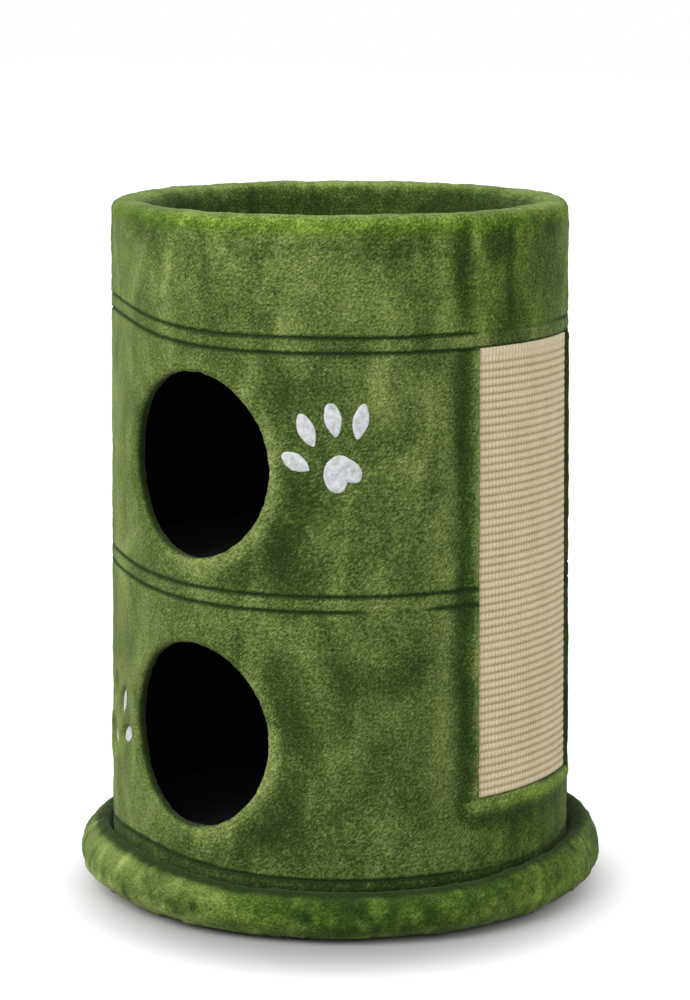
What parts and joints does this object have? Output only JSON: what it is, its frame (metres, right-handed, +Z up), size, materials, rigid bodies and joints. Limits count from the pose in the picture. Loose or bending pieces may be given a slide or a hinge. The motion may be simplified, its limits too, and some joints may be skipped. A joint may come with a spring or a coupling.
{
  "type": "cat condo",
  "caption": "Upright plush cat barrel on a wider padded base, with oval cave entrances, a let-in sisal scratching mat and a sunken padded lounge with a loose cushion.",
  "frame": {"origin": "on the floor, below the barrel's axis", "axes": "+Z up along the barrel's axis; the cave entrances face -Y, and the sisal mat faces +X"},
  "size_m": [0.5, 0.5, 0.655],
  "materials": {
    "plush": "matte",
    "lining": "matte",
    "underlay": "matte",
    "foam": "matte",
    "fibreboard": "matte",
    "tube_board": "matte",
    "sisal": "matte",
    "latex_backing": "matte",
    "paw_patch": "matte",
    "glide_plastic": "satin",
    "steel": "satin"
  },
  "bodies": {
    "condo": {"base_glides": "glide_plastic", "glide_nails": "steel", "base_underlay": "underlay", "base_staples": "steel", "base_board": "fibreboard", "base_foam": "foam", "base_cover": "plush", "base_bolts": "steel", "base_washers": "steel", "base_tee_nuts": "steel", "barrel_tube": "tube_board", "bottom_disc": "fibreboard", "middle_floor": "fibreboard", "lounge_floor": "fibreboard", "bottom_disc_screws": "steel", "middle_floor_screws": "steel", "lounge_floor_screws": "steel", "lower_cave_lining": "lining", "upper_cave_lining": "lining", "lower_cave_mat": "lining", "upper_cave_mat": "lining", "lounge_floor_mat": "plush", "lounge_wall_foam": "foam", "lounge_cover": "plush", "upper_seam_band": "plush", "upper_cave_cover": "plush", "middle_seam_band": "plush", "lower_cave_cover": "plush", "foot_band": "plush", "upper_entrance_trim": "plush", "lower_entrance_trim": "plush", "sisal_panel": "sisal", "sisal_backing": "latex_backing", "upper_paw_patches": "paw_patch", "lower_paw_patches": "paw_patch"},
    "cushion": {"lounge_cushion": "plush"}
  },
  "joints": [
    {"name": "cushion_lift", "type": "slide", "parent": "condo", "child": "cushion", "axis": [0, 0, 1], "range_m": [0, 0.12]}
  ]
}
